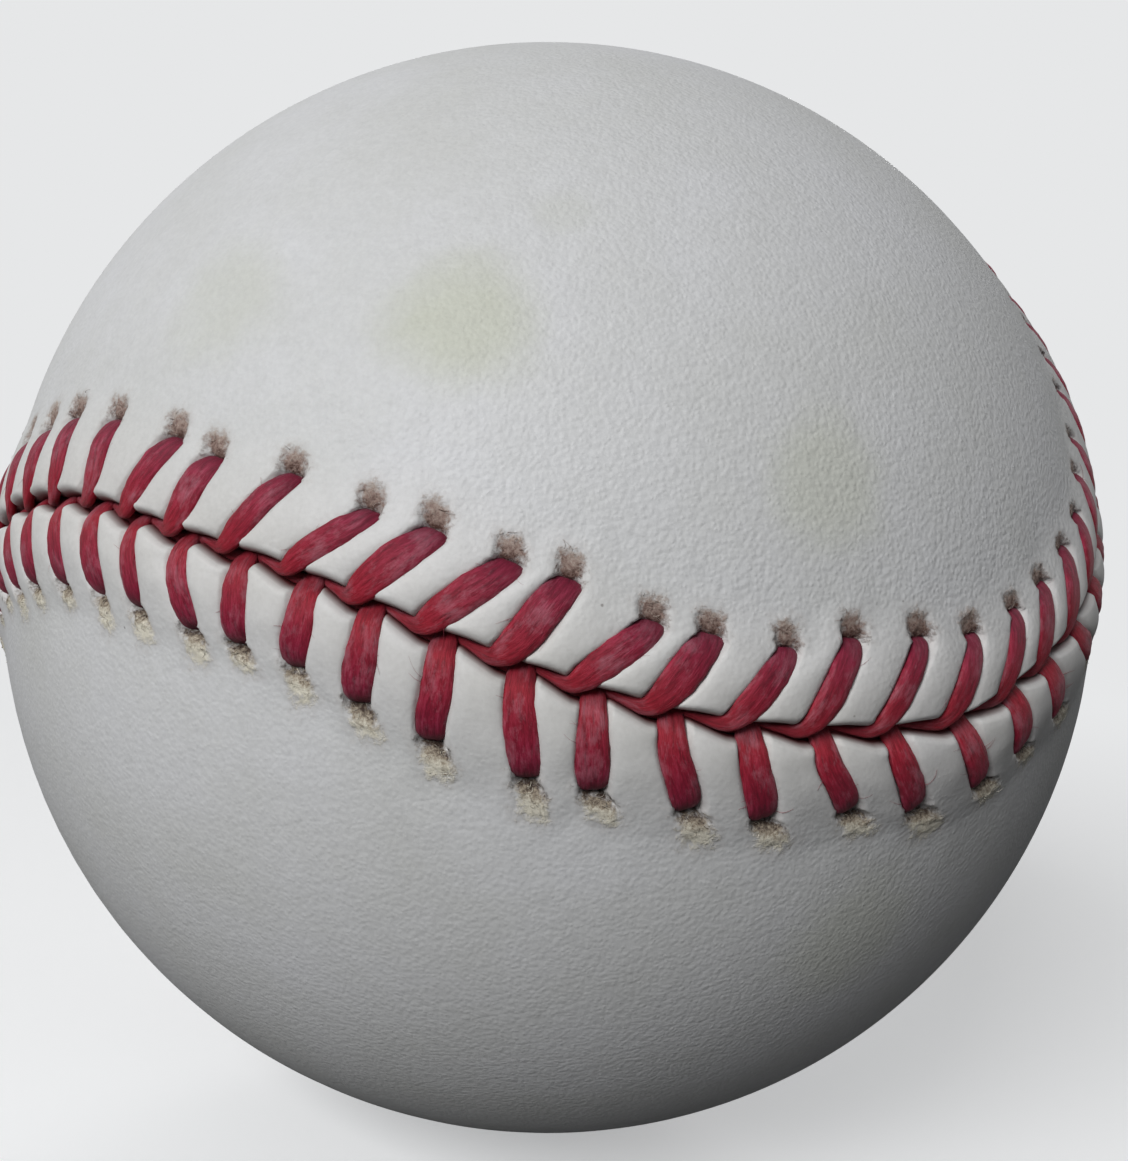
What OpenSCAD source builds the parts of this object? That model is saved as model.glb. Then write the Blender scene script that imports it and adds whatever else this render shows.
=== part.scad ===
// Baseball: two figure-eight leather panels, stitched with 108 double stitches
// of red thread over four windings of yarn and a cork and rubber centre.
// The ball's centre is the origin. The seam crosses +Z, -Z, +Y and -Y, and the
// necks of the two panels face +X and -X.

/* [Ball] */
// Diameter over the leather, away from the seam
ball_d = 74; // [70:0.5:90]
// Thickness of the leather
leather_t = 1.15; // [1:0.05:1.4]

/* [Centre] */
// Diameter of the cork core
cork_d = 20.6; // [16:0.2:24]
// Thickness of the two black rubber half shells
black_rubber_t = 4; // [3:0.25:5]
// Thickness of the washer between the half shells
washer_t = 1.6; // [1:0.1:2.5]
// Thickness of the red rubber shell
red_rubber_t = 2.3; // [1.5:0.1:3]

/* [Windings] */
// Thickness of the white wool winding
white_wool_t = 1.8; // [1:0.1:2.5]
// Thickness of the outer grey wool winding
outer_grey_wool_t = 2.2; // [1:0.1:3]
// Thickness of the cotton finish winding
cotton_t = 0.5; // [0.3:0.1:1]

/* [Seam] */
// Distance from one stitch to the next
stitch_spacing = 3.84; // [3.5:0.02:4.4]
// Gap between the panels, midway between two stitches
seam_gap = 0.9; // [0.6:0.05:1.2]
// Height of the leather's puffs between the stitches
welt_rise = 0.8; // [0.4:0.05:0.9]
// Distance from the middle of the seam to a row of holes
hole_row = 4.35; // [4:0.05:4.8]
// How far along the seam a stitch over panel A runs on its way to its hole
stitch_lean_a = 1.6; // [0:0.1:2]
// How far along the seam a stitch over panel B starts ahead of one over panel A
stitch_lead_b = 1.1; // [0:0.1:1.2]

/* [Thread] */
// Width of the waxed thread, pressed flat on the leather
thread_w = 1.5; // [1.1:0.05:1.6]
// Thickness of the thread there
thread_t = 0.9; // [0.7:0.05:1]
// Height of the top of a stitch above the leather
thread_rise = 1; // [0.8:0.05:1.2]
// Depth of the ends of a stitch below the leather's surface
stitch_sink = 0.75; // [0.6:0.05:0.85]

/* [Hidden] */

// Running clearance between one layer and the next
layer_gap = 0.05;
// Space for the cement under the leather
cement_t = 0.3;
// Clearance of the thread in its channel and its hole
thread_gap = 0.12;
// Length by which the thread's pull has drawn out each hole, away from the seam
hole_slack = 0.6;
// Width over which the welt fades into the round of the ball
welt_fade = 2.5;
// Width of the rounding on the edge of a panel
lip_w = 0.6;
// Shape of the seam: how wide the lobes spread, and how square their ends are
lobe_share = 0.3255;
flare_share = 0.0225;
// Place of the first stitch, as a share of the way to the next
first_stitch_share = 0.948;
// Height of a puff, as shares of the rise, from the edge of the panel to past the holes
puff_shares = [-0.2, 0.7, 1, 0.7, 0.25];
// Places along a channel, as shares of half the bend of a stitch
channel_shares = [-0.8, -0.45, 0, 0.8];
// Angle from the tip of a lobe to its middle
lobe_reach = 47.5;
// Places of the rings between the rim and the spine
ray_shares = [0, 0.22, 0.46, 0.72];
// Steps that measure a quarter of the seam
quarter_steps = 90;
round_fn = 96;
thread_fn = 32;

ball_r = ball_d / 2;
cork_r = cork_d / 2;
black_rubber_r = cork_r + layer_gap + black_rubber_t;
red_rubber_r = black_rubber_r + layer_gap + red_rubber_t;
cotton_r = ball_r - leather_t - cement_t;
outer_grey_wool_r = cotton_r - cotton_t - layer_gap;
white_wool_r = outer_grey_wool_r - outer_grey_wool_t - layer_gap;
grey_wool_r = white_wool_r - white_wool_t - layer_gap;

thread_half_w = thread_w / 2;
thread_half_t = thread_t / 2;
// Radius of the two sides of the thread's lens-shaped section
thread_side_r = (thread_half_w * thread_half_w + thread_half_t * thread_half_t) / thread_t;
channel_half = thread_half_w + thread_gap;
stitch_in = thread_half_t + thread_gap;
stitch_mid = (stitch_in + hole_row) / 2;
hole_near = hole_row - thread_half_t - thread_gap;
hole_far = hole_row + thread_half_t + thread_gap + hole_slack;
fade_end = hole_far + welt_fade;
puff_edge = seam_gap / 2;
puff_rows = [puff_edge, puff_edge + lip_w, stitch_mid, hole_near, hole_far];

function unit(v) = v / norm(v);
function arc_angle(length) = length / ball_r * 180 / PI;

// The seam on a ball of radius 1, at angle s
function seam_at(s) = unit([
    (1 - lobe_share) * cos(s) - lobe_share * cos(3 * s) + flare_share * cos(5 * s),
    (1 - lobe_share) * sin(s) + lobe_share * sin(3 * s) + flare_share * sin(5 * s),
    -2 * sqrt(lobe_share * (1 - lobe_share)) * cos(2 * s)]);

// Length of the seam up to each step of a quarter, with the angle there
seam_step = 90 / quarter_steps;
seam_lengths = [for (i = 0, run = 0; i <= quarter_steps;
    i = i + 1, run = run + ball_r * norm(seam_at(i * seam_step) - seam_at((i - 1) * seam_step)))
    [run, i * seam_step]];
quarter_length = seam_lengths[quarter_steps][0];
quarter_stitches = round(quarter_length / stitch_spacing);
stitches = 4 * quarter_stitches;
half_stitches = stitches / 2;
pitch = quarter_length / quarter_stitches;

function seam_angle(u) = let (turn = floor(u / quarter_length))
    90 * turn + lookup(u - turn * quarter_length, seam_lengths);
function seam_heading(s) = unit(seam_at(s + seam_step) - seam_at(s - seam_step));

// A direction u along the seam and w to its side, towards panel A
function seam_side(u, w) = let (s = seam_angle(u), p = seam_at(s))
    p * cos(arc_angle(w)) + unit(cross(p, seam_heading(s))) * sin(arc_angle(w));
// A point there, at height h over the leather
function on_seam(u, w, h) = (ball_r + h) * seam_side(u, w);

// A point beside stitch k, which starts its lead ahead along the seam and leans
// back to a row of holes that is level on both sides
function stitch_place(k) = (k + first_stitch_share) * pitch;
function lean(w, lead) = lead - (lead + stitch_lean_a) * abs(w) / hole_row;
function beside_stitch(k, lead, along, w, h) = on_seam(stitch_place(k) + along + lean(w, lead), w, h);

// A circle through three points, as its centre and the unit axes of its plane,
// the first axis towards the middle point
function circle_centre(p, q, r) = let (a = p - q, b = r - q, c = cross(a, b))
    q + (cross(c, a) * (b * b) + cross(b, c) * (a * a)) / (2 * (c * c));
function circle_axes(p, q, r) = let (x = unit(q - circle_centre(p, q, r)), z = unit(cross(q - p, r - q)))
    [x, cross(z, x), z];

// A stitch is bent along the circle through its two sunk ends and its top
function stitch_points(k, lead, side) = [
    beside_stitch(k, lead, 0, side * stitch_in, -stitch_sink),
    beside_stitch(k, lead, 0, side * stitch_mid, thread_rise - thread_half_t),
    beside_stitch(k, lead, 0, side * hole_row, -stitch_sink)];
function half_bend(points, centre) = acos(unit(points[1] - centre) * unit(points[2] - centre));

module thread_section() {
    intersection() {
        translate([thread_half_t - thread_side_r, 0])
            circle(thread_side_r, $fn = thread_fn);
        translate([thread_side_r - thread_half_t, 0])
            circle(thread_side_r, $fn = thread_fn);
    }
}

module stitch(k, lead, side) {
    points = stitch_points(k, lead, side);
    centre = circle_centre(points[0], points[1], points[2]);
    axes = circle_axes(points[0], points[1], points[2]);
    bend = half_bend(points, centre);
    multmatrix([for (i = [0 : 2]) [axes[0][i], axes[1][i], axes[2][i], centre[i]]])
        rotate([0, 0, -bend])
            rotate_extrude(angle = 2 * bend, $fn = thread_fn)
                translate([norm(points[1] - centre), 0])
                    thread_section();
}

// The floor of the channel that a stitch lies in, at one side of the thread
function channel_point(k, lead, share, along) = let (
    points = stitch_points(k, lead, 1),
    centre = circle_centre(points[0], points[1], points[2]),
    axes = circle_axes(points[0], points[1], points[2]),
    angle = share * half_bend(points, centre),
    reach = norm(points[1] - centre) - thread_half_t - thread_gap)
    centre + reach * (axes[0] * cos(angle) + axes[1] * sin(angle)) - along * axes[2];

// Columns of the rim: both sides of each channel, then the puff up to the next stitch
function outer_ring(lead, i) = [for (k = [0 : stitches - 1]) each concat(
    [for (along = [-channel_half, channel_half]) i < 4
        ? channel_point(k, lead, channel_shares[i], along)
        : beside_stitch(k, lead, along, hole_far, 0)],
    [beside_stitch(k, lead, pitch / 2, puff_rows[i], puff_shares[i] * welt_rise)])];

// Inside the rim, rays run from the seam to a spine down the middle of the panel
function tip_angle() = let (tip = seam_at(0)) atan2(tip[2], tip[0]);
spine_reach = 90 - tip_angle() - lobe_reach;
function spine_side(j) = let (a = 90 - spine_reach * cos(180 * j / half_stitches)) [cos(a), 0, sin(a)];
function ray_ring(share) = [for (j = [0 : stitches - 1])
    ball_r * unit(seam_side(j * pitch, fade_end) * (1 - share) + spine_side(j) * share)];
function spine() = [for (j = [0 : half_stitches]) ball_r * spine_side(j)];

// The leather's inside, straight below points on its outside
function below(points) = [for (p = points) (ball_r - leather_t) * unit(p)];

// Faces between two rings of the same count, of a band that leaves out every
// third face, and of a band from three points a stitch to one
function quad(a, b, c, d) = [[a, b, c], [a, c, d]];
function band(a, b, n) = [for (i = [0 : n - 1]) each quad(a + i, a + (i + 1) % n, b + (i + 1) % n, b + i)];
function holed_band(a, b, n) = [for (i = [0 : n - 1]) if (i % 3 != 0)
    each quad(a + i, a + (i + 1) % n, b + (i + 1) % n, b + i)];
function narrowing_band(a, b, n) = [for (k = [0 : n - 1]) let (
    l = a + 3 * k, next_l = a + (3 * k + 3) % (3 * n), r = b + k, next_r = b + (k + 1) % n)
    each [[l, l + 1, r], [l + 1, l + 2, r], [l + 2, next_r, r], [l + 2, next_l, next_r]]];
function spine_band(a, b, n) = [for (j = [0 : n - 1]) let (
    near = b + min(j, n - j), far = b + min(j + 1, n - j - 1))
    each quad(a + j, a + (j + 1) % n, far, near)];
function middle_bands(a, n) = concat(
    [for (i = [0 : 2]) each band(a + i * n, a + (i + 1) * n, n)],
    spine_band(a + 3 * n, a + 4 * n, n));
function hole_walls(near, far, inner_near, inner_far, n) = [for (k = [0 : n - 1]) let (
    a = near + 3 * k, b = far + 3 * k, c = inner_near + 3 * k, d = inner_far + 3 * k)
    each concat(quad(a, a + 1, c + 1, c), quad(b + 1, b, d, d + 1), quad(b, a, c, d),
        quad(a + 1, b + 1, d + 1, c + 1))];
function flipped(faces) = [for (face = faces) [face[2], face[1], face[0]]];

// A cover panel round the +Z axis: its neck there, its lobes at +X and -X
module panel(lead) {
    rim = 3 * stitches;
    rings = [for (i = [0 : 4]) outer_ring(lead, i)];
    outer_rim = [for (ring = rings) each ring];
    inner_rim = [for (i = [0, 3, 4]) each rings[i]];
    middle = concat([for (share = ray_shares) each ray_ring(share)], spine());
    rays_at = 5 * rim;
    inner_at = rays_at + len(middle);
    inner_rays_at = inner_at + 3 * rim;
    outside = concat(
        band(inner_at, 0, rim),
        [for (i = [0 : 2]) each band(i * rim, (i + 1) * rim, rim)],
        holed_band(3 * rim, 4 * rim, rim),
        narrowing_band(4 * rim, rays_at, stitches),
        middle_bands(rays_at, stitches));
    inside = concat(
        band(inner_at, inner_at + rim, rim),
        holed_band(inner_at + rim, inner_at + 2 * rim, rim),
        narrowing_band(inner_at + 2 * rim, inner_rays_at, stitches),
        middle_bands(inner_rays_at, stitches));
    walls = hole_walls(3 * rim, 4 * rim, inner_at + rim, inner_at + 2 * rim, stitches);
    polyhedron(concat(outer_rim, middle, below(inner_rim), below(middle)),
        concat(flipped(outside), inside, flipped(walls)));
}

// Turns the seam's own axes, with the necks at +Z and -Z, into those of the ball
module in_place() {
    rotate([45, 0, 0])
        rotate([90, 0, 90])
            children();
}

module shell(outer_r, inner_r) {
    difference() {
        sphere(outer_r, $fn = round_fn);
        sphere(inner_r + layer_gap, $fn = round_fn);
    }
}

// One of the two half shells of black rubber, cut back for the washer
module black_half_shell() {
    rotate_extrude($fn = round_fn)
        difference() {
            circle(black_rubber_r, $fn = round_fn);
            circle(cork_r + layer_gap, $fn = round_fn);
            translate([-ball_r, -ball_r])
                square([ball_r, ball_d]);
            translate([0, washer_t / 2 + layer_gap - ball_d])
                square([ball_r, ball_d]);
        }
}

module cork_core() {
    color([0.55, 0.38, 0.24])
        sphere(cork_r, $fn = round_fn);
}

module upper_black_shell() {
    color([0.1, 0.1, 0.1])
        black_half_shell();
}

module lower_black_shell() {
    color([0.1, 0.1, 0.1])
        rotate([180, 0, 0])
            black_half_shell();
}

module rubber_washer() {
    color([0.65, 0.1, 0.1])
        rotate_extrude($fn = round_fn)
            intersection() {
                difference() {
                    circle(black_rubber_r, $fn = round_fn);
                    circle(cork_r + layer_gap, $fn = round_fn);
                }
                translate([0, -washer_t / 2])
                    square([ball_r, washer_t]);
            }
}

module red_rubber_shell() {
    color([0.7, 0.12, 0.1])
        shell(red_rubber_r, black_rubber_r);
}

module grey_wool_winding() {
    color([0.45, 0.46, 0.48])
        shell(grey_wool_r, red_rubber_r);
}

module white_wool_winding() {
    color([0.88, 0.87, 0.83])
        shell(white_wool_r, grey_wool_r);
}

module outer_grey_wool_winding() {
    color([0.52, 0.53, 0.55])
        shell(outer_grey_wool_r, white_wool_r);
}

module cotton_winding() {
    color([0.93, 0.92, 0.88])
        shell(cotton_r, outer_grey_wool_r);
}

module cover_panel_a() {
    color([0.87, 0.86, 0.83])
        in_place()
            panel(0);
}

module cover_panel_b() {
    color([0.87, 0.86, 0.83])
        in_place()
            rotate([0, 0, 90])
                mirror([0, 0, 1])
                    panel(stitch_lead_b);
}

module stitches_a() {
    color([0.62, 0.08, 0.15])
        in_place()
            for (k = [0 : stitches - 1])
                stitch(k, 0, 1);
}

module stitches_b() {
    color([0.62, 0.08, 0.15])
        in_place()
            for (k = [0 : stitches - 1])
                stitch(k, stitch_lead_b, -1);
}

cork_core();
lower_black_shell();
upper_black_shell();
rubber_washer();
red_rubber_shell();
grey_wool_winding();
white_wool_winding();
outer_grey_wool_winding();
cotton_winding();
cover_panel_a();
cover_panel_b();
stitches_a();
stitches_b();
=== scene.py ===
"""A baseball on a pale floor: leather panels, waxed thread, and the layers inside."""

import math

import bpy
import numpy as np
from mathutils import Matrix, Vector, noise

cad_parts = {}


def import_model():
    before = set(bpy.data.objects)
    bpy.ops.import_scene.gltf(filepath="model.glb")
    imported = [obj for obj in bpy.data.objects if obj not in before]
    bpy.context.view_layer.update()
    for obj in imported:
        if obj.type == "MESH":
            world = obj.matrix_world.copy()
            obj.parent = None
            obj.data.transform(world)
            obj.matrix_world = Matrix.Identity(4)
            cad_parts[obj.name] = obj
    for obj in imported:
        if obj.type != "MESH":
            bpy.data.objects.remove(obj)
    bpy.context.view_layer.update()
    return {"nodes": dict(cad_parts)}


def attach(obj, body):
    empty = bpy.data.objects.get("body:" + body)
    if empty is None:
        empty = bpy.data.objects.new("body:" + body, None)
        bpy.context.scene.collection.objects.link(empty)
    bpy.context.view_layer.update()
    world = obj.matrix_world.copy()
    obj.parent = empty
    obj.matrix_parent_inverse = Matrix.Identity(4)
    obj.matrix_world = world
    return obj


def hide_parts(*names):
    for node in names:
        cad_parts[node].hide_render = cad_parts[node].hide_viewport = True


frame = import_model()

# Lengths are in millimetres up to the point where a mesh is made.
MM = 0.001
BALL_R = 37.0
LEATHER_T = 1.15
INNER_R = BALL_R - LEATHER_T

# The seam's shape, its stitches and where the first one is, as the solids have them.
LOBE_SHARE = 0.3255
FLARE_SHARE = 0.0225
STITCHES = 108
FIRST_STITCH_SHARE = 0.948
# The angle from the tip of a lobe to the end of the panel's spine.
LOBE_REACH = math.radians(47.5)

# In tables and dictionaries by side, 1 is panel A's side of the seam and -1 is panel B's.
SIDES = {"a": 1, "b": -1}

# The visible legs of a stitch, from the groove to the hole: how far along the
# seam, how far from its middle, how high, half as wide and half as thick.
ALONG, ACROSS, HEIGHT, HALF_W, HALF_T = range(5)
LEG_A = np.array([
    (0.42, -0.55, -0.70, 0.46, 0.24),
    (0.36, -0.25, -0.50, 0.57, 0.27),
    (0.28, 0.10, -0.17, 0.65, 0.29),
    (0.20, 0.50, 0.12, 0.68, 0.30),
    (0.05, 1.00, 0.32, 0.74, 0.30),
    (-0.15, 1.60, 0.42, 0.78, 0.30),
    (-0.38, 2.25, 0.42, 0.81, 0.30),
    (-0.60, 2.90, 0.35, 0.81, 0.30),
    (-0.80, 3.45, 0.22, 0.79, 0.30),
    (-0.96, 3.88, 0.02, 0.75, 0.29),
    (-1.05, 4.12, -0.28, 0.68, 0.28),
    (-1.10, 4.26, -0.64, 0.57, 0.26),
    (-1.12, 4.32, -0.98, 0.44, 0.24),
])
LEG_B = np.array([
    (3.75, 0.40, -0.60, 0.14, 0.20),
    (3.20, 0.36, -0.46, 0.19, 0.23),
    (2.68, 0.31, -0.32, 0.24, 0.26),
    (2.22, 0.28, -0.18, 0.31, 0.28),
    (1.86, 0.30, -0.04, 0.41, 0.29),
    (1.54, 0.48, 0.12, 0.56, 0.30),
    (1.24, 0.80, 0.27, 0.70, 0.30),
    (0.96, 1.20, 0.37, 0.79, 0.30),
    (0.62, 1.75, 0.43, 0.85, 0.30),
    (0.32, 2.30, 0.43, 0.86, 0.30),
    (0.02, 2.85, 0.38, 0.86, 0.30),
    (-0.28, 3.35, 0.26, 0.85, 0.30),
    (-0.52, 3.78, 0.08, 0.83, 0.29),
    (-0.68, 4.08, -0.18, 0.79, 0.28),
    (-0.75, 4.22, -0.52, 0.72, 0.26),
    (-0.78, 4.28, -0.95, 0.62, 0.23),
])
LEGS = {1: LEG_A, -1: LEG_B}
# The last rows lie over the leather, in a channel.
OVER = {side: leg[-10:] for side, leg in LEGS.items()}
# How far from the middle the holes are in the tables above.
HOLE_AT = 4.2
# Where a leg begins to lean along the seam towards its own hole.
LEAN_FROM = 0.8

# Each stitch is pulled tight by hand, so it strays a little from its even place:
# the first of these stitches, how far each groove end lies along and across the
# seam, and how far each hole lies along from its leg and across from the middle.
FIRST_STRAY = 28
STRAY_ALONG = [-2.6, -2.1, -1.45, -1.55, -1.15, -0.25, 0.2, 0.2, 0.25, 0.2,
               -0.2, -0.2, -0.35, -0.9, -1.0, -1.2, -1.45, -1.95, -2.1, -2.15]
STRAY_ACROSS = [0.0, -0.05, -0.3, -0.3, 0.1, -0.1, -0.15, 0.0, 0.1, 0.1,
                0.05, -0.05, -0.2, -0.25, -0.15, 0.05, 0.0, -0.15, -0.1, 0.0]
LEAN_A = [0.0, -0.6, 0.2, 0.45, -0.15, -0.25, -0.6, -0.3, -0.5, 0.1,
          -0.45, 0.5, 0.55, 0.7, 0.4, -0.4, 0.0, -0.25, 0.1, 0.5]
LEAN_B = [0.2, 0.1, -0.1, -0.2, 0.0, -0.3, 0.05, 0.0, 0.3, -0.55,
          0.35, -0.55, -0.5, -0.8, 0.0, 0.8, -0.05, 1.45, 1.6, 0.95]
HOLES_A = [3.9, 3.9, 3.9, 3.8, 4.0, 4.05, 3.7, 4.1, 4.0, 4.05,
           4.4, 4.3, 4.0, 3.65, 3.65, 3.75, 3.75, 3.9, 3.95, 4.05]
HOLES_B = [3.8, 4.1, 4.0, 3.9, 4.15, 4.6, 4.6, 4.0, 4.05, 3.95,
           4.6, 4.4, 4.4, 4.1, 4.45, 4.2, 4.5, 4.6, 4.7, 4.4]
# How wide each leg is beside the even ones in the tables.
WIDE_A = [1.0, 0.92, 1.12, 1.1, 0.95, 0.9, 0.9, 1.01, 1.06, 1.02,
          1.03, 0.98, 1.01, 1.02, 0.9, 0.87, 0.81, 1.13, 0.94, 1.1]
WIDE_B = [1.05, 1.1, 1.08, 0.98, 0.87, 0.79, 0.88, 0.88, 1.06, 1.0,
          1.06, 1.0, 1.0, 0.82, 0.79, 0.9, 0.97, 0.92, 0.88, 1.0]


# Colours and nodes


def linear(code):
    """The linear colour of an sRGB hex code."""
    parts = [int(code[i:i + 2], 16) / 255 for i in (0, 2, 4)]
    parts = [c / 12.92 if c <= 0.04045 else ((c + 0.055) / 1.055) ** 2.4 for c in parts]
    return (*parts, 1.0)


def add(tree, kind, inputs=(), ramp=(), **settings):
    """Adds a node. An input takes a value, a hex colour, a socket, or a node, for its first output."""
    made = tree.nodes.new("ShaderNode" + kind)
    for name, value in settings.items():
        setattr(made, name, value)
    for name, value in dict(inputs).items():
        if isinstance(value, bpy.types.Node):
            value = value.outputs[0]
        if isinstance(value, bpy.types.NodeSocket):
            tree.links.new(value, made.inputs[name])
        else:
            made.inputs[name].default_value = linear(value) if isinstance(value, str) else value
    if ramp:
        elements = made.color_ramp.elements
        while len(elements) < len(ramp):
            elements.new(1)
        for element, (place, colour) in zip(elements, ramp):
            element.position = place
            element.color = linear(colour) if isinstance(colour, str) else (colour, colour, colour, 1)
    return made


def empty_tree(made):
    """The emptied node tree of a material or a world."""
    made.use_nodes = True
    made.node_tree.nodes.clear()
    return made.node_tree


def material(name):
    """A new material, and its empty node tree."""
    made = bpy.data.materials.new(name)
    return made, empty_tree(made)


def surface(tree, inputs):
    """Ends a material's tree with its surface shader."""
    add(tree, "OutputMaterial", {"Surface": add(tree, "BsdfPrincipled", inputs)})


def stained(tree, tone, value, low, high, most, colour):
    """Lays a colour over the tone: none where the value is low, and the most where it is high."""
    share = add(tree, "MapRange", {"Value": value, "From Min": low, "From Max": high, "To Max": most})
    return add(tree, "MixRGB", {"Fac": share, "Color1": tone, "Color2": colour})


def shaded(tree, tone, value, ramp, share):
    """Darkens the tone where the ramp is dark at the value."""
    dark = add(tree, "ValToRGB", {"Fac": value}, ramp)
    return add(tree, "MixRGB", {"Fac": share, "Color1": tone, "Color2": dark}, blend_type="MULTIPLY")


def per_metre(size_mm):
    """The scale of a texture whose features are to be that many millimetres apart."""
    return 1 / (size_mm * MM)


def on_ball(direction):
    """The point on the ball, in metres, that lies in that direction."""
    return tuple(c * BALL_R * MM for c in direction)


# The seam


def unit(v):
    return v / np.linalg.norm(v, axis=-1, keepdims=True)


def smooth(low, high, x):
    t = np.clip((x - low) / (high - low), 0, 1)
    return t * t * (3 - 2 * t)


def seam_at(s):
    """The seam on a ball of radius 1, at angle s, with the panels' necks at +Z and -Z."""
    side = 1 - LOBE_SHARE
    return unit(np.stack([
        side * np.cos(s) - LOBE_SHARE * np.cos(3 * s) + FLARE_SHARE * np.cos(5 * s),
        side * np.sin(s) + LOBE_SHARE * np.sin(3 * s) + FLARE_SHARE * np.sin(5 * s),
        -2 * math.sqrt(LOBE_SHARE * side) * np.cos(2 * s),
    ], -1))


SEAM_STEPS = np.linspace(0, math.tau, 2881)
SEAM_LENGTHS = np.r_[0, np.cumsum(np.linalg.norm(np.diff(seam_at(SEAM_STEPS), axis=0), axis=1))] * BALL_R
SEAM_LENGTH = SEAM_LENGTHS[-1]
PITCH = SEAM_LENGTH / STITCHES
# How far apart in angle the two points are that give the seam's direction.
SEAM_NUDGE = 0.01


def on_seam(u, w, h):
    """The point u along the seam, w to its side towards panel A, and h over the leather."""
    u, w, h = np.broadcast_arrays(u, w, h)
    s = np.interp(u % SEAM_LENGTH, SEAM_LENGTHS, SEAM_STEPS)
    p = seam_at(s)
    across = unit(np.cross(p, seam_at(s + SEAM_NUDGE) - seam_at(s - SEAM_NUDGE)))
    angle = (w / BALL_R)[..., None]
    return (BALL_R + h)[..., None] * (p * np.cos(angle) + across * np.sin(angle))


def stitch_place(k):
    """Where stitch k is along the seam."""
    return (k + FIRST_STITCH_SHARE) * PITCH


def stitch_values(rows, rest, spread, seed):
    """A value for each stitch: the rows for those that start at FIRST_STRAY, and chance for others."""
    values = np.random.default_rng(seed).normal(rest, spread, STITCHES)
    values[FIRST_STRAY:FIRST_STRAY + len(rows)] = rows
    return values


def around(values, reach):
    """Values for all stitches: the first and last of the given ones fade over the next few stitches."""
    whole = np.zeros(STITCHES)
    whole[FIRST_STRAY:FIRST_STRAY + len(values)] = values
    for n in range(1, reach):
        fade = 1 - smooth(0, reach, n)
        whole[FIRST_STRAY - n] = values[0] * fade
        whole[FIRST_STRAY + len(values) - 1 + n] = values[-1] * fade
    return whole


SLIP = around(STRAY_ALONG, 12)
DRIFT = around(STRAY_ACROSS, 6)
LEANS = {1: stitch_values(LEAN_A, 0, 0.22, 21), -1: stitch_values(LEAN_B, 0.1, 0.25, 22)}
HOLES = {1: stitch_values(HOLES_A, 4.0, 0.14, 23), -1: stitch_values(HOLES_B, 4.35, 0.16, 24)}
WIDTHS = {1: stitch_values(WIDE_A, 0.96, 0.07, 25), -1: stitch_values(WIDE_B, 0.95, 0.08, 26)}


def sewn(u, w, h):
    """The point of the seam as it was sewn, where each stitch strays a little."""
    k = u / PITCH - FIRST_STITCH_SHARE
    numbers = np.arange(-1, STITCHES + 1)
    along = np.interp(k % STITCHES, numbers, SLIP[numbers % STITCHES])
    across = np.interp(k % STITCHES, numbers, DRIFT[numbers % STITCHES])
    return on_seam(u + along, w + across, h)


def stretched(v, hole):
    """A place in the tables, moved so that the hole comes to its own place."""
    return v * (1 + (hole / HOLE_AT - 1) * smooth(0.8, 3, v) * (1 - smooth(6, 8.5, v)))


def in_place(points):
    """Turns the seam's own axes into the ball's, where the seam crosses +Z and +Y."""
    x, y, z = points[..., 0], points[..., 1], points[..., 2]
    return np.stack([z, (x - y) / math.sqrt(2), (x + y) / math.sqrt(2)], -1)


def spline(points, count):
    """A smooth line through the rows of points, as count rows."""
    padded = np.vstack([2 * points[0] - points[1], points, 2 * points[-1] - points[-2]])
    at = np.linspace(0, len(points) - 1, count)
    i = np.minimum(at.astype(int), len(points) - 2)
    t = (at - i)[:, None]
    a, b, c, d = (padded[i + n] for n in range(4))
    bend = (2 * a - 5 * b + 4 * c - d) * t ** 2 + (3 * b - a - 3 * c + d) * t ** 3
    return 0.5 * (2 * b + (c - a) * t + bend)


def wobble(points, size, seed):
    """Smooth noise from -1 to 1 at each point, with features of that size."""
    shift = Vector((seed * 17.3, seed * 5.1, seed * 9.7))
    flat = points.reshape(-1, 3) / size
    return np.array([noise.noise(Vector(p) + shift) for p in flat]).reshape(points.shape[:-1])


# Meshes


def grid_faces(grid):
    """Four-sided faces between the rows of a grid of vertex numbers, where each row is a ring."""
    after = np.roll(grid, -1, 1)
    return np.stack([grid[:-1], after[:-1], after[1:], grid[1:]], -1).reshape(-1, 4).tolist()


def tube_faces(first, rings, sides):
    """The faces of a tube with closed ends, whose points are numbered ring by ring from the first."""
    grid = first + np.arange(rings * sides).reshape(rings, sides)
    return grid_faces(grid) + [grid[0][::-1].tolist(), grid[-1].tolist()]


def make_piece(name, points, faces, finish, marks, replaced=None):
    """A mesh object of the ball, from points in millimetres in the seam's own axes."""
    mesh = bpy.data.meshes.new(name)
    mesh.from_pydata((points * MM).tolist(), [], faces)
    mesh.validate()
    for mark, values in marks.items():
        kind, field = ("FLOAT", "value") if values.ndim == 1 else ("FLOAT_VECTOR", "vector")
        layer = mesh.attributes.new(mark, kind, "POINT")
        layer.data.foreach_set(field, np.ascontiguousarray(values, np.float32).ravel())
    mesh.polygons.foreach_set("use_smooth", np.ones(len(mesh.polygons), bool))
    mesh.materials.append(finish)
    made = bpy.data.objects.new(name, mesh)
    bpy.context.scene.collection.objects.link(made)
    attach(made, "root")
    if replaced:
        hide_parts(replaced)


# The shape of the leather

# Columns of the rim beside each leg, as distances from its middle line.
COLUMNS = np.array([-1.72, -1.50, -1.28, -1.10, -0.95, -0.80, -0.64, -0.42, -0.21, 0,
                    0.21, 0.42, 0.64, 0.80, 0.95, 1.10, 1.28, 1.50, 1.72, PITCH / 2])
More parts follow.
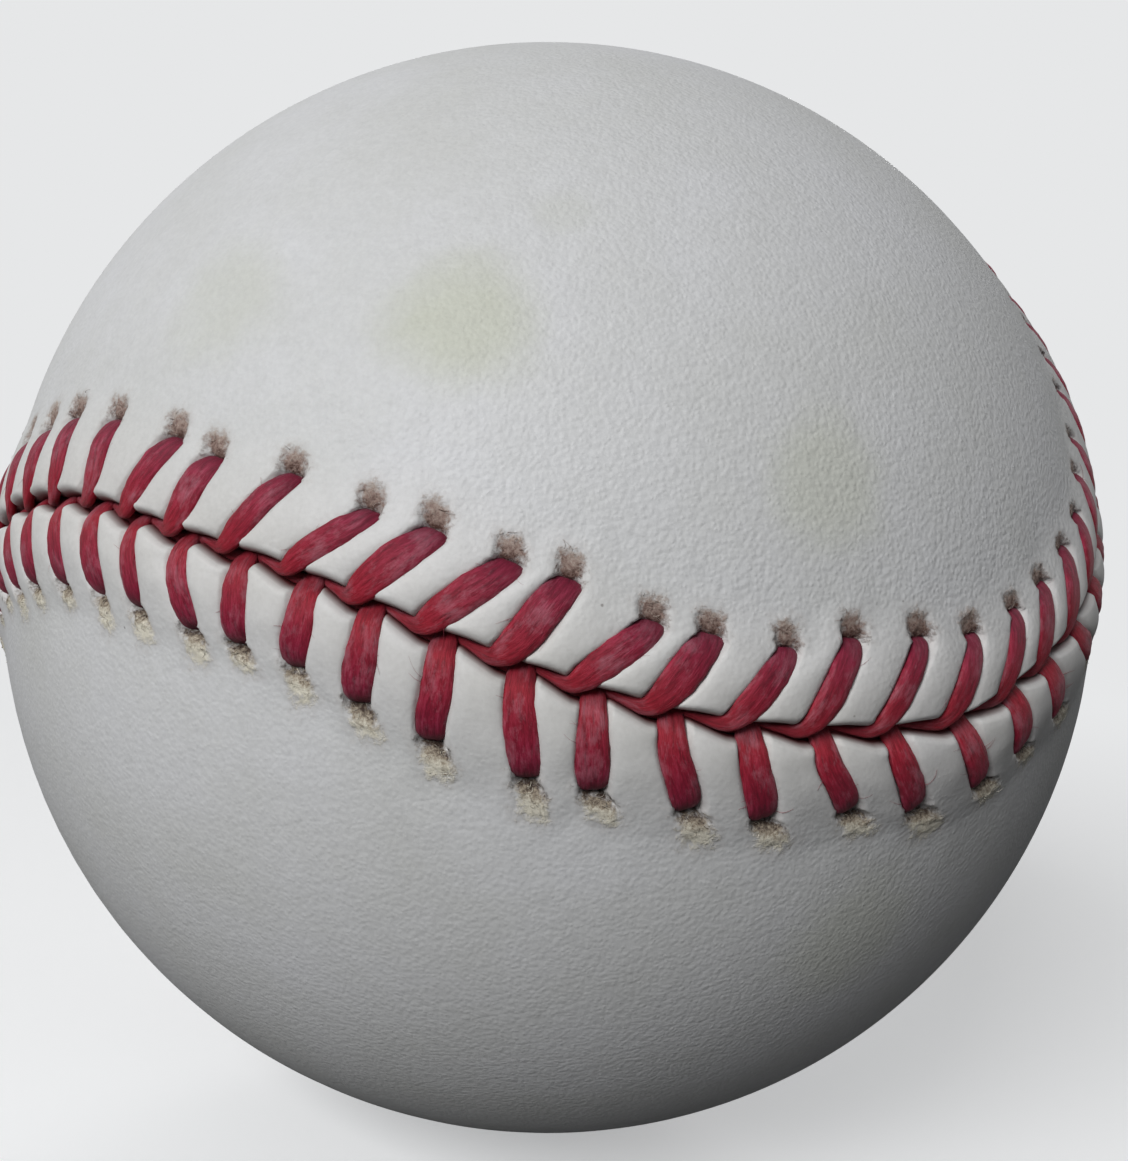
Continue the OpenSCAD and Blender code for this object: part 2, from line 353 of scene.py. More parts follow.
# The same for the whole seam, the places of their stitches, the even places to which the columns spread,
# and where they do.
BESIDE = np.tile(COLUMNS, STITCHES)
PLACES = np.repeat(stitch_place(np.arange(STITCHES)), len(COLUMNS))
EVEN = np.tile(np.arange(1, len(COLUMNS) + 1) * PITCH / len(COLUMNS) - PITCH / 2, STITCHES)
SPREAD = (6.4, 8.3)
# One column in so many goes on to the middle of the panel.
FAN = 4
KEPT = np.arange(0, len(BESIDE), FAN)
# From the middle of the seam on: the wall at a panel's edge, the roll over it, and the rows of the rim.
WALL_HEIGHTS = [-LEATHER_T, -0.85, -0.55]
ROLL_STEPS = 6
ROLL_W = 0.46
RIM_ROWS = np.r_[0.9, 1.12, np.arange(1.35, 3.7, 0.32), np.arange(3.8, 6.0, 0.15), 6.2, 6.8, 7.8, 9.4]
# Rows before this one are moved on where the roll reaches them.
FIRM_ROW = 2
# The rows under the rim, which are even from this one on, and the rings from the rim to the panel's spine.
UNDER_ROWS = [2.5, 5.5, 9.4]
EVEN_ROW = 8
RINGS = 12

# How high the leather puffs up beside the seam, where that fades into the round of the ball, and
# how much lower it is at the edge.
WELT_H = {1: 0.74, -1: 0.68}
WELT_FADE = (1.8, 6.8)
WELT_DIP = 0.25
WELT_DIP_END = 1.6
# Where the puffs between the legs end, how full they are, and the least share of the height between them.
PUFF_END = (4.6, 6.0)
PUFF_POWER = 2.8
PUFF_LOW = 0.76
# How much wider than its leg a channel is, how deep in it the leg lies, in half thicknesses, the shares
# of its half width between which its side rises, and where it ends.
CHANNEL_SLACK = {1: 1.05, -1: 1.12}
CHANNEL_SINK = 0.8
CHANNEL_SIDE = (0.80, 1.02)
CHANNEL_END = (4.18, 4.34)
# How far along the seam the thread's pull has drawn out a hole, for each millimetre away from the seam.
HOLE_DRAWN = {1: -0.62, -1: 0.24}
DRAWN_L = 1.4
# Half the width and the length of the torn patch beyond a hole, and how square it is.
PATCH_HALF_W = {1: 0.92, -1: 0.80}
PATCH_HALF_L = {1: 0.92, -1: 0.74}
PATCH_POWER = 2.6
# Where the torn ramp and the fluff on it begin, and how deep the ramp is at distances from the hole.
RAMP_START = (4.1, 4.2)
FLUFF_START = (4.15, 4.4)
RAMP_AT = [-0.2, 0.0, 0.12, 0.3, 0.6, 1.0, 1.5]
RAMP_DEPTHS = {1: [1.0, 1.0, 0.95, 0.58, 0.14, -0.03, 0.0], -1: [1.0, 1.0, 0.66, 0.34, 0.22, 0.14, 0.0]}
# How high the small wrinkles and the fluff of the raw hide are, and how far apart.
WRINKLE_H = 0.05
WRINKLE_L = 1.7
FLUFF_H = 0.13
FLUFF_L = 0.24
# How far the edge of panel A stands from the middle of the seam, at places between two stitches.
EDGE_A_AT = [0, 0.95, 1.9, 2.2, 2.5, 3.0, PITCH]
EDGE_A = [0.28, 0.04, -0.18, -0.1, 0.1, 0.3, 0.28]
EDGE_A_START = 1.4
# The edge of panel B is a wave: its middle, its height and where its peak is.
EDGE_B = 0.52
EDGE_B_WAVE = 0.06
EDGE_B_PEAK = 2.9
# What each point of the leather is marked with for its material, and the value away from the rim.
MARKS = {"in_patch": -1.0, "off_leg": 3.0, "past_hole": 5.0, "from_edge": 9.0}


def on_leg(side, v, column):
    """A column of a leg's table at v, where the leg lies over the leather."""
    return np.interp(v, OVER[side][:, ACROSS], OVER[side][:, column])


def spread_at(v):
    """How far the columns have spread from beside the legs to even places, from 0 to 1."""
    return smooth(*SPREAD, v)


def at_columns(values):
    """Values of the stitches at the columns, blended from each stitch to the next."""
    own, after, before = (np.repeat(np.roll(values, n), len(COLUMNS)) for n in (0, -1, 1))
    share = smooth(0.95, PITCH - 0.95, np.abs(BESIDE))
    return own * (1 - share) + np.where(BESIDE > 0, after, before) * share


def leg_line(side, v, lean):
    """Where a leg's middle line is along the seam, at v in the table."""
    drawn = HOLE_DRAWN[side] * np.clip(v - HOLE_AT, 0, DRAWN_L) * (1 - spread_at(v))
    return on_leg(side, v, ALONG) + drawn + lean * smooth(LEAN_FROM, HOLE_AT, v)


def channel_half_w(side, v, wide):
    return on_leg(side, v, HALF_W) * CHANNEL_SLACK[side] * wide


def patch_depth(side, off, v, size):
    """How far inside the torn patch beyond a hole a point is: 1 in the middle, and below 0 outside it."""
    half_l = PATCH_HALF_L[side] * (0.9 + 0.3 * size)
    across = np.abs(off / PATCH_HALF_W[side]) ** PATCH_POWER
    away = np.abs((v - HOLE_AT - half_l + 0.1) / half_l) ** PATCH_POWER
    return 1 - (across + away) ** (1 / PATCH_POWER)


def leather_height(side, off, v, size, wide):
    """How high the leather stands over the ball, off to the side of a leg and at v."""
    half_w = channel_half_w(side, v, wide)
    bed = on_leg(side, v, HEIGHT) - CHANNEL_SINK * on_leg(side, v, HALF_T)
    beyond = np.clip((np.abs(off) - half_w) / (PITCH / 2 - half_w), 0, 1)
    ended = smooth(*PUFF_END, v)
    bulge = (1 - (1 - beyond) ** PUFF_POWER) * (1 - ended) + 0.5 * ended
    dip = WELT_DIP * np.clip(1 - v / WELT_DIP_END, 0, 1) ** 2
    ridge = WELT_H[side] * (1 - dip) * (1 - smooth(*WELT_FADE, v))
    puff = ridge * (PUFF_LOW + (1 - PUFF_LOW) * bulge)
    under_leg = (1 - smooth(*CHANNEL_SIDE, np.abs(off) / half_w)) * (1 - smooth(*CHANNEL_END, v))
    height = puff * (1 - under_leg) + np.minimum(bed, puff) * under_leg
    # The thread has drawn each hole out, away from the seam, into a torn ramp.
    sink = np.interp(v - HOLE_AT, RAMP_AT, RAMP_DEPTHS[side])
    ramp = smooth(-0.12, 0.28, patch_depth(side, off, v, size)) * smooth(*RAMP_START, v)
    return height - sink * ramp * (1 - under_leg)


def panel_edge(side, along):
    """How far a panel's edge stands from the middle of the seam."""
    if side > 0:
        return np.interp((along - EDGE_A_START) % PITCH, EDGE_A_AT, EDGE_A)
    return EDGE_B + EDGE_B_WAVE * np.cos(math.tau * (along - EDGE_B_PEAK) / PITCH)


def panel_rim(side):
    """The rows of the rim, from the inside of a panel's edge to its smooth middle, and their marks."""
    size = np.repeat(np.random.default_rng(5 + side).random(STITCHES), len(COLUMNS))
    lean, hole, wide = (at_columns(values[side]) for values in (LEANS, HOLES, WIDTHS))
    rows, marks = [], []

    def add_row(v, h, along, in_patch=None):
        rows.append(sewn(PLACES + along, side * stretched(v, hole), h))
        past_leg = np.maximum(np.abs(BESIDE) - channel_half_w(side, v, wide), v - HOLE_AT)
        depth = patch_depth(side, BESIDE, v, size) if in_patch is None else in_patch
        marks.append((depth, past_leg, v - HOLE_AT, v - edge))

    start = leg_line(side, np.full(len(BESIDE), 0.6), lean) + BESIDE
    edge = panel_edge(side, start)
    for h in WALL_HEIGHTS:
        add_row(edge, np.full(len(BESIDE), h), start, np.full(len(BESIDE), MARKS["in_patch"]))
    for i in range(1, ROLL_STEPS + 1):
        turn = math.pi / 2 * i / ROLL_STEPS
        v = edge + ROLL_W * (1 - math.cos(turn))
        top = leather_height(side, BESIDE, v, size, wide)
        along = leg_line(side, np.maximum(v, 0.6), lean) + BESIDE
        add_row(v, WALL_HEIGHTS[-1] + (top - WALL_HEIGHTS[-1]) * math.sin(turn), along)
    last_v = edge + ROLL_W
    for base in RIM_ROWS:
        v = np.maximum(base, last_v + 0.1) if base < FIRM_ROW else np.full(len(BESIDE), base)
        last_v = v
        along = leg_line(side, v, lean) + BESIDE * (1 - spread_at(v)) + EVEN * spread_at(v)
        height = leather_height(side, BESIDE, v, size, wide)
        flat = on_seam(PLACES + along, side * v, 0 * v)
        height = height + WRINKLE_H * wobble(flat, WRINKLE_L, 3) * (1 - smooth(7, 9, v))
        # The raw hide in the torn patches is fluffy.
        fluff = smooth(-0.15, 0.1, patch_depth(side, BESIDE, v, size)) * smooth(*FLUFF_START, v)
        if fluff.max() > 0:
            height = height + FLUFF_H * fluff * wobble(flat, FLUFF_L, 4)
        add_row(v, height, along)
    return in_place(np.array(rows)), marks


def panel_middle(side, last_row):
    """The rings from the rim to the spine of a panel, the spine, and its point for each column.

    The two sides of the panel share the spine's points, which pair up across it.
    """
    turn = math.tau * (PLACES + leg_line(side, RIM_ROWS[-1], 0) + EVEN)[KEPT] / SEAM_LENGTH
    turn = turn if side > 0 else turn - math.pi / 2
    tip = seam_at(np.array(0.0))
    reach = math.pi / 2 - math.atan2(tip[2], tip[0]) - LOBE_REACH
    angle = math.pi / 2 - reach * np.cos(turn)
    flat = np.zeros_like(angle)
    spine = [np.cos(angle), flat, np.sin(angle)] if side > 0 else [flat, np.cos(angle), -np.sin(angle)]
    spine = in_place(np.stack(spine, -1)) * BALL_R
    shares = (np.arange(1, RINGS) / RINGS)[:, None, None]
    rings = unit(last_row[KEPT] * (1 - shares) + spine * shares) * BALL_R
    first = int(np.argmin(np.abs((turn + math.pi) % math.tau - math.pi)))
    order = (np.arange(len(KEPT)) - first) % len(KEPT)
    pairs = np.minimum(order, len(KEPT) - order)
    return rings, spine[(np.arange(len(KEPT) // 2 + 1) + first) % len(KEPT)], pairs


def panel_underside(side):
    """The rows under the rim of a panel."""
    lean = at_columns(LEANS[side])
    rows = []
    for v in UNDER_ROWS:
        along = (PLACES + leg_line(side, v, lean) + (BESIDE if v < EVEN_ROW else EVEN))[KEPT]
        rows.append(sewn(along, side * v, np.full(len(along), -LEATHER_T)))
    return in_place(np.array(rows))


def fan(rim, ring):
    """Triangles between a rim and a ring that has one point for each FAN points of the rim."""
    faces = []
    for j in range(len(ring)):
        first = [int(rim[(FAN * j + n) % len(rim)]) for n in range(FAN + 1)]
        here, after = int(ring[j]), int(ring[(j + 1) % len(ring)])
        middle = FAN // 2
        faces += [(first[n], first[n + 1], here) for n in range(middle)]
        faces.append((first[middle], after, here))
        faces += [(first[n], first[n + 1], after) for n in range(middle, FAN)]
    return faces


def closing(ring, spine):
    """Faces from the last ring to the panel's spine, whose points the two sides share."""
    faces = []
    for j in range(len(ring)):
        k = (j + 1) % len(ring)
        corners = [int(ring[j]), int(ring[k]), int(spine[k]), int(spine[j])]
        faces.append(corners[:3] if corners[2] == corners[3] else corners)
    return faces


def numbered(groups):
    """The vertex numbers of groups of points that follow each other, each in its group's shape."""
    numbers, start = [], 0
    for group in groups:
        count = int(np.prod(group.shape[:-1]))
        numbers.append(start + np.arange(count).reshape(group.shape[:-1]))
        start += count
    return numbers


def cover_panel(name, side, finish, replaced):
    """One figure-eight panel: a welted rim with its torn holes, and a smooth middle."""
    rim, marks = panel_rim(side)
    rings, spine, pairs = panel_middle(side, rim[-1])
    groups = [rim, rings, spine, panel_underside(side), unit(rings) * INNER_R, unit(spine) * INNER_R]
    outside, ring, ridge, under, under_ring, under_ridge = numbered(groups)
    faces = grid_faces(outside) + fan(outside[-1], ring[0]) + grid_faces(ring)
    faces += closing(ring[-1], ridge[pairs])
    inside = fan(outside[0], under[0]) + grid_faces(np.vstack([under, under_ring]))
    inside += closing(under_ring[-1], under_ridge[pairs])
    faces += [f[::-1] for f in inside]
    if side < 0:
        faces = [f[::-1] for f in faces]
    points = np.concatenate([g.reshape(-1, 3) for g in groups])
    fields = {}
    for i, (mark, rest) in enumerate(MARKS.items()):
        fields[mark] = np.full(len(points), rest)
        fields[mark][:outside.size] = np.concatenate([row[i] for row in marks])
    make_piece(name, points, faces, finish, fields, replaced)


# The looks of the leather

# Old toning of the leather: where the middle of each spot is, its radius and its strength.
SPOTS = [
    ((0.009, -0.920, 0.391), 4.0, 0.50),
    ((-0.351, -0.849, 0.396), 4.0, 0.22),
    ((0.489, -0.835, 0.253), 3.2, 0.30),
    ((0.613, -0.695, -0.376), 4.2, 0.25),
    ((0.106, -0.826, 0.554), 1.8, 0.10),
    ((0.20, 0.85, 0.48), 4.5, 0.35),
    ((-0.62, 0.55, -0.56), 5.0, 0.25),
    ((0.85, 0.20, 0.49), 4.0, 0.20),
]
# Where handling has rubbed the grain smooth, and how much of the grain is left there and over the welt.
RUBBED = (-0.40, -0.72, 0.57)
GRAIN_LEFT = 0.35
# How strong the grain of each panel is.
RELIEF = {1: 0.40, -1: 0.62}
# The raw side of the hide in the torn holes: dark at the thread with dirt and painted shade of the slit, then
# the bare hide and its clean fluff. Panel A's colours are painted lighter, as if lit, and panel B's darker,
# as if in shade.
RAW_HIDE_LIT_AND_SHADED = {1: ("3f3129", "9a8e7d", "dfdaca"), -1: ("50372f", "8c766d", "b4a69c")}
# How light the hide is at the hole, and how much lighter it gets with each millimetre from there, as dirt and
# painted shade give way to clean fluff.
RAW_TONE_START = {1: -1.41, -1: -1.13}
RAW_TONE_SLOPE = {1: 0.95, -1: 0.55}


def mark_of(tree, name):
    """What the points of a mesh are marked with under that name."""
    return add(tree, "Attribute", attribute_name=name).outputs["Fac"]


def aged_tone(tree, place, from_edge, cloud, fine):
    """White leather with old toning, speckles and specks, warmed by handling along the seam."""
    tone = add(tree, "ValToRGB", {"Fac": cloud}, [(0.32, "cecfce"), (0.68, "d6d7d9")])
    for middle, radius, strength in SPOTS:
        apart = add(tree, "VectorMath", {0: place, 1: on_ball(middle)}, operation="DISTANCE").outputs["Value"]
        ragged = add(tree, "Math", {0: cloud, 1: 0.006, 2: apart}, operation="MULTIPLY_ADD")
        share = add(tree, "MapRange", {"Value": ragged, "From Min": (radius * 1.3 + 3) * MM,
                                       "From Max": (radius * 0.3 + 3) * MM, "To Max": strength},
                    interpolation_type="SMOOTHSTEP")
        tone = add(tree, "MixRGB", {"Fac": share, "Color1": tone, "Color2": "bec2a7"})
    tone = shaded(tree, tone, fine, [(0.30, 0.86), (0.62, 1.0)], 0.6)
    mottle = add(tree, "TexNoise", {"Vector": place, "Scale": per_metre(0.9), "Detail": 3, "Roughness": 0.6})
    tone = shaded(tree, tone, mottle, [(0.35, 0.955), (0.65, 1.0)], 0.8)
    # Small dark specks of dirt, most of them near the seam.
    jitter = add(tree, "MixRGB", {"Fac": 0.1 * MM, "Color1": place, "Color2": fine.outputs["Color"]},
                 blend_type="ADD")
    speck = add(tree, "TexVoronoi", {"Vector": jitter, "Scale": per_metre(1.5)})
    pick = add(tree, "SeparateColor", {"Color": speck.outputs["Color"]})
    seldom = add(tree, "Math", {0: pick, 1: 0.86}, operation="GREATER_THAN")
    near = add(tree, "MapRange", {"Value": speck, "From Min": 0.06, "From Max": 0.03})
    close = add(tree, "MapRange", {"Value": from_edge, "From Min": 8.0, "From Max": 5.0, "To Min": 0.12,
                                   "To Max": 0.6})
    shown = add(tree, "Math", {0: near, 1: seldom}, operation="MULTIPLY")
    shown = add(tree, "Math", {0: shown, 1: close}, operation="MULTIPLY")
    tone = add(tree, "MixRGB", {"Fac": shown, "Color1": tone, "Color2": "4b4540"})
    aged = add(tree, "Math", {0: cloud, 1: -6.0, 2: from_edge}, operation="MULTIPLY_ADD")
    return stained(tree, tone, aged, 3.0, -2.0, 0.2, "cfc6b8")


def soiled_and_shaded(tree, tone, in_patch, rough):
    """Darkens the leather with grime and painted shade, beside the thread and round the holes."""
    # A darker band in the crease beside the thread: grime and painted shade.
    ragged = add(tree, "Math", {0: rough, 1: 0.5, 2: mark_of(tree, "off_leg")}, operation="MULTIPLY_ADD")
    tone = stained(tree, tone, ragged, 0.42, 0.12, 0.22, "8c7a78")
    # A grey halo round the torn holes: grime and painted shade.
    hole_halo = add(tree, "Math", {0: rough, 1: 2.4, 2: in_patch}, operation="MULTIPLY_ADD")
    return stained(tree, tone, hole_halo, 0.55, 1.35, 0.22, "96897f")


def bare_hide(tree, side, hair):
    """The raw side of the hide, dark at the thread with dirt and painted shade, and lighter away from it."""
    depth = add(tree, "Math", {0: mark_of(tree, "past_hole"), 1: RAW_TONE_SLOPE[side], 2: RAW_TONE_START[side]},
                operation="MULTIPLY_ADD")
    depth = add(tree, "Math", {0: hair, 1: 2.3, 2: depth}, operation="MULTIPLY_ADD")
    dirt_and_shade, hide, fluff = RAW_HIDE_LIT_AND_SHADED[side]
    return add(tree, "ValToRGB", {"Fac": depth}, [(0.08, dirt_and_shade), (0.42, hide), (0.9, fluff)])


def grain(tree, side, place, from_edge, fine):
    """Flat pebbles and finer wrinkles, drawn tight over the welt and rubbed smooth in one place."""
    warp = add(tree, "TexNoise", {"Vector": place, "Scale": per_metre(0.9), "Detail": 2})
    bent = add(tree, "MixRGB", {"Fac": 0.3 * MM, "Color1": place, "Color2": warp.outputs["Color"]},
               blend_type="ADD")
    pebble = add(tree, "TexVoronoi", {"Vector": bent, "Scale": per_metre(0.26), "Smoothness": 0.8},
                 feature="SMOOTH_F1")
    soft = add(tree, "TexNoise", {"Vector": place, "Scale": per_metre(0.65), "Detail": 2.5, "Roughness": 0.6})
    height = add(tree, "MixRGB", {"Fac": 0.48, "Color1": pebble, "Color2": soft})
    height = add(tree, "MixRGB", {"Fac": 0.25, "Color1": height, "Color2": fine})
    apart = add(tree, "VectorMath", {0: place, 1: on_ball(RUBBED)}, operation="DISTANCE").outputs["Value"]
    left = add(tree, "MapRange", {"Value": apart, "From Min": 8 * MM, "From Max": 21 * MM,
                                  "To Min": GRAIN_LEFT, "To Max": RELIEF[side]},
               interpolation_type="SMOOTHSTEP")
    taut = add(tree, "MapRange", {"Value": from_edge, "From Min": 1.5, "From Max": 6.0, "To Min": GRAIN_LEFT})
    left = add(tree, "Math", {0: left, 1: taut}, operation="MULTIPLY")
    return add(tree, "Bump", {"Height": height, "Strength": left, "Distance": 0.17 * MM}, invert=True)


def alum_tanned_leather(name, side):
    """White alum-tanned cowhide, with its fine grain, a little age, and raw hide in its torn holes."""
    made, tree = material(name)
    place = add(tree, "TexCoord").outputs["Object"]
    in_patch = mark_of(tree, "in_patch")
    from_edge = mark_of(tree, "from_edge")
    cloud = add(tree, "TexNoise", {"Vector": place, "Scale": per_metre(11), "Detail": 5, "Roughness": 0.62})
    fine = add(tree, "TexNoise", {"Vector": place, "Scale": per_metre(0.3), "Detail": 4, "Roughness": 0.7})
    rough = add(tree, "TexNoise", {"Vector": place, "Scale": per_metre(0.45), "Detail": 5, "Roughness": 0.75})
    hair = add(tree, "TexNoise", {"Vector": place, "Scale": per_metre(0.26), "Detail": 6, "Roughness": 0.8})
    tone = soiled_and_shaded(tree, aged_tone(tree, place, from_edge, cloud, fine), in_patch, rough)
    ragged = add(tree, "Math", {0: rough, 1: 2.2, 2: -1.1}, operation="MULTIPLY_ADD")
    torn = add(tree, "Math", {0: in_patch, 1: ragged}, operation="ADD")
    torn = add(tree, "MapRange", {"Value": torn, "From Min": -0.10, "From Max": 0.42})
    tone = add(tree, "MixRGB", {"Fac": torn, "Color1": tone, "Color2": bare_hide(tree, side, hair)})
    # The edges that go down into the seam are painted dark maroon: partly red wax from the thread that has
    # stained them, partly painted shade of the groove.
    tone = stained(tree, tone, from_edge, 0.20, 0.02, 1.0, "5e2a2c")
    # The torn holes have a nap.
    nap = add(tree, "Math", {0: hair, 1: torn}, operation="MULTIPLY")
    bump = add(tree, "Bump", {"Height": nap, "Strength": 0.7, "Distance": 0.1 * MM,
                              "Normal": grain(tree, side, place, from_edge, fine)})
    surface(tree, {"Base Color": tone, "Roughness": 0.55, "Specular IOR Level": 0.3, "Normal": bump})
    return made


def raw_fibres(name, side):
    """Loose fibres of hide, from dark with dirt and painted shade to clean, in colours painted lighter as if
    lit on panel A and darker as if in shade on panel B.
    """
    made, tree = material(name)
    dirt_and_shade, hide, fluff = RAW_HIDE_LIT_AND_SHADED[side]
    tone = add(tree, "ValToRGB", {"Fac": mark_of(tree, "shade")}, [(0.0, dirt_and_shade), (0.25, hide), (0.7, fluff)])
    surface(tree, {"Base Color": tone, "Roughness": 0.8, "Specular IOR Level": 0.2})
    return made


# The thread

LEG_RINGS = 40
LEG_SIDES = 20
# Over so many rings, a leg narrows to each of its ends.
LEG_CAP = 2.0
# The section of a leg: how square it is, and the furrow between its two yarns.
SECTION_POWERS = (0.8, 0.85)
FURROW_DEPTH = 0.08
FURROW_W = 0.22
# How far a leg sways along the seam by chance, how much its width differs and waves, and how rough it is.
SWAY = 0.05
WIDTH_STRAY = 0.04
WIDTH_WAVE = 0.03
ROUGH = 0.07
ROUGH_L = 0.5
# The run at the bottom of the groove: rings to a stitch, sides, the half sizes of its section, how far it
# goes under the panels' edges, and the middle, the height and the peak of the wave that it makes.
GROOVE_RINGS = 10
GROOVE_SIDES = 8
GROOVE_HALF_W = 0.34
GROOVE_HALF_T = 0.24
GROOVE_TUCK = 0.04
GROOVE_H = -0.56
GROOVE_WAVE = 0.10
GROOVE_PEAK = 1.9
# The fibres: points along each, and sides. Each mark differs from the next by chance, over this range.
HAIR_POINTS = 5
HAIR_SIDES = 3
MARK_RANGE = 50
TORN_FIBRES = 13


def leg_rows(side, k):
    """The rows of the leg of stitch k, pulled to its own hole."""
    line = spline(LEGS[side], LEG_RINGS)
    line[:, ALONG] += LEANS[side][k] * smooth(LEAN_FROM, HOLE_AT, line[:, ACROSS])
    line[:, ACROSS] = stretched(line[:, ACROSS], HOLES[side][k])
    line[:, HALF_W] *= WIDTHS[side][k]
    return line


def powered(values, power):
    """The values raised to a power, each with its own sign."""
    return np.sign(values) * np.abs(values) ** power


def leg_axes(side, u, line, share):
    """The middle line of a leg, and the directions across it and up."""
    centre = sewn(u, side * line[:, ACROSS], line[:, HEIGHT])
    ahead = unit(np.gradient(centre, axis=0))
    across = unit(np.cross(ahead, unit(centre)))
    if side < 0:
        # The end goes down through a slit that lies along the seam.
        along = unit(sewn(u + 0.05, side * line[:, ACROSS], line[:, HEIGHT]) - centre)
        along *= np.sign((along * across).sum(-1, keepdims=True))
        turned = smooth(0.62, 0.86, share)[:, None]
        across = unit(across * (1 - turned) + along * turned)
    return centre, across, unit(np.cross(across, ahead))


def leg_section():
    """How far the points of a leg's section lie to the side and up, as shares of its half sizes."""
    turn = np.linspace(0, math.tau, LEG_SIDES, endpoint=False)
    furrow = FURROW_DEPTH * np.exp(-(np.cos(turn) / FURROW_W) ** 2)
    flat = powered(np.cos(turn), SECTION_POWERS[0])
    lift = powered(np.sin(turn), SECTION_POWERS[1]) * (1 - furrow)
    return np.cos(turn), flat[:, None], lift[:, None]


def stitches(name, side, finish, replaced):
    """The 108 legs of the thread that lie over one panel."""
    random = np.random.default_rng(11 + side)
    beside, flat, lift = leg_section()
    share = np.linspace(0, 1, LEG_RINGS)
    number = np.arange(LEG_RINGS)
    cap = np.sqrt(np.clip(np.minimum(number, number[::-1]) / LEG_CAP, 0.05, 1))
    points, faces, marks, shares = [], [], [], []
    for k in range(STITCHES):
        line = leg_rows(side, k)
        line[:, ALONG] += random.normal(0, SWAY) * np.sin(math.pi * share) ** 2
        stray = random.normal(0, WIDTH_STRAY)
        line[:, HALF_W] *= 1 + stray + WIDTH_WAVE * np.sin(6 * share + random.random() * 6)
        centre, across, up = leg_axes(side, stitch_place(k) + line[:, ALONG], line, share)
        half_w = (line[:, HALF_W] * cap)[:, None, None]
        half_t = (line[:, HALF_T] * cap)[:, None, None]
        ring = centre[:, None] + across[:, None] * half_w * flat + up[:, None] * half_t * lift
        ring += (ring - centre[:, None]) * (ROUGH * wobble(ring, ROUGH_L, k % 7))[..., None]
        points.append(ring.reshape(-1, 3))
        faces += tube_faces(k * LEG_RINGS * LEG_SIDES, LEG_RINGS, LEG_SIDES)
        length = np.r_[0, np.cumsum(np.linalg.norm(np.diff(centre, axis=0), axis=1))]
        at = np.broadcast_arrays(beside, length[:, None], random.random() * MARK_RANGE)
        marks.append(np.stack(at, -1).reshape(-1, 3))
        shares.append(np.repeat(line[:, ACROSS] / HOLES[side][k], LEG_SIDES))
    if side > 0:
        faces = [f[::-1] for f in faces]
    make_piece(name, in_place(np.concatenate(points)), faces, finish,
               {"thread_at": np.concatenate(marks), "to_hole": np.concatenate(shares)}, replaced)


def groove_thread(name, finish):
    """The run of the thread at the bottom of the groove, from each stitch to the next."""
    u = np.arange(STITCHES * GROOVE_RINGS) * PITCH / GROOVE_RINGS
    past = u - stitch_place(0)
    edge_a = panel_edge(1, past)
    edge_b = -panel_edge(-1, past)
    middle = (edge_a + edge_b) / 2
    half_w = np.minimum((edge_a - edge_b) / 2 + GROOVE_TUCK, GROOVE_HALF_W)
    height = GROOVE_H + GROOVE_WAVE * np.cos(math.tau * (past - GROOVE_PEAK) / PITCH)
    turn = np.linspace(0, math.tau, GROOVE_SIDES, endpoint=False)
    rings = np.array([sewn(u, middle + half_w * math.cos(a), height + GROOVE_HALF_T * math.sin(a))
                      for a in turn])
    grid = np.arange(GROOVE_SIDES * len(u)).reshape(GROOVE_SIDES, len(u))
    faces = grid_faces(np.vstack([grid, grid[:1]]))
    at = np.stack([np.repeat(np.cos(turn), len(u)), np.tile(u, GROOVE_SIDES), np.zeros(grid.size)], -1)
    # Its to_hole of 0 darkens the whole run with the thread's painted groove shade.
    make_piece(name, in_place(rings.reshape(-1, 3)), faces, finish,
               {"thread_at": at, "to_hole": np.zeros(grid.size)})


def strands(lines, radii):
    """Fine closed hairs along lines of points, tapered to their ends: points and faces."""
    points, faces = [], []
    turn = np.linspace(0, math.tau, HAIR_SIDES, endpoint=False)[None, :, None]
    taper = np.linspace(1, 0.35, HAIR_POINTS)[:, None, None]
    for n, (line, radius) in enumerate(zip(lines, radii)):
        ahead = unit(np.gradient(line, axis=0))
        across = unit(np.cross(ahead, unit(line)))
        up = np.cross(across, ahead)
        ring = line[:, None] + radius * taper * (across[:, None] * np.cos(turn) + up[:, None] * np.sin(turn))
        points.append(ring.reshape(-1, 3))
        faces += tube_faces(n * HAIR_POINTS * HAIR_SIDES, HAIR_POINTS, HAIR_SIDES)
    return in_place(np.concatenate(points)), faces


def hair_line(side, k, off, vs, height):
    """A line beside stitch k, off to the side of its leg and at vs in the table."""
    along = stitch_place(k) + leg_line(side, vs, LEANS[side][k]) + off
    return sewn(along, side * stretched(vs, HOLES[side][k]), height)


def loose_fibres(name, side, finish):
    """Short fibres of the thread that have come loose and lie on the leather beside it."""
    random = np.random.default_rng(31 + side)
    t = np.linspace(0, 1, HAIR_POINTS)
    lines, radii = [], []
    for k in range(STITCHES):
        for _ in range(random.integers(1, 5)):
            v = random.uniform(0.9, 4.0)
            to = random.choice([-1, 1])
            angle = random.normal(0, 0.9)
            reach = random.uniform(0.2, 0.8)
            bend = random.normal(0, 0.6)
            half_w = on_leg(side, v, HALF_W) * WIDTHS[side][k]
            off = to * (half_w - 0.08 + reach * t * math.cos(angle))
            vs = v + reach * (t * math.sin(angle) + bend * t * t)
            top = on_leg(side, vs, HEIGHT) + 0.12
            low = leather_height(side, off, vs, 0.5, WIDTHS[side][k]) + 0.03
            height = np.maximum(low, top * (1 - t) ** 2 + low * (1 - (1 - t) ** 2))
            lines.append(hair_line(side, k, off, vs, height))
            radii.append(random.uniform(0.007, 0.014))
    points, faces = strands(lines, radii)
    at = np.zeros((len(points), 3))
    at[:, 2] = np.repeat(random.random(len(lines)) * MARK_RANGE, HAIR_POINTS * HAIR_SIDES)
    make_piece(name, points, faces, finish, {"thread_at": at, "to_hole": np.full(len(points), 0.5)})


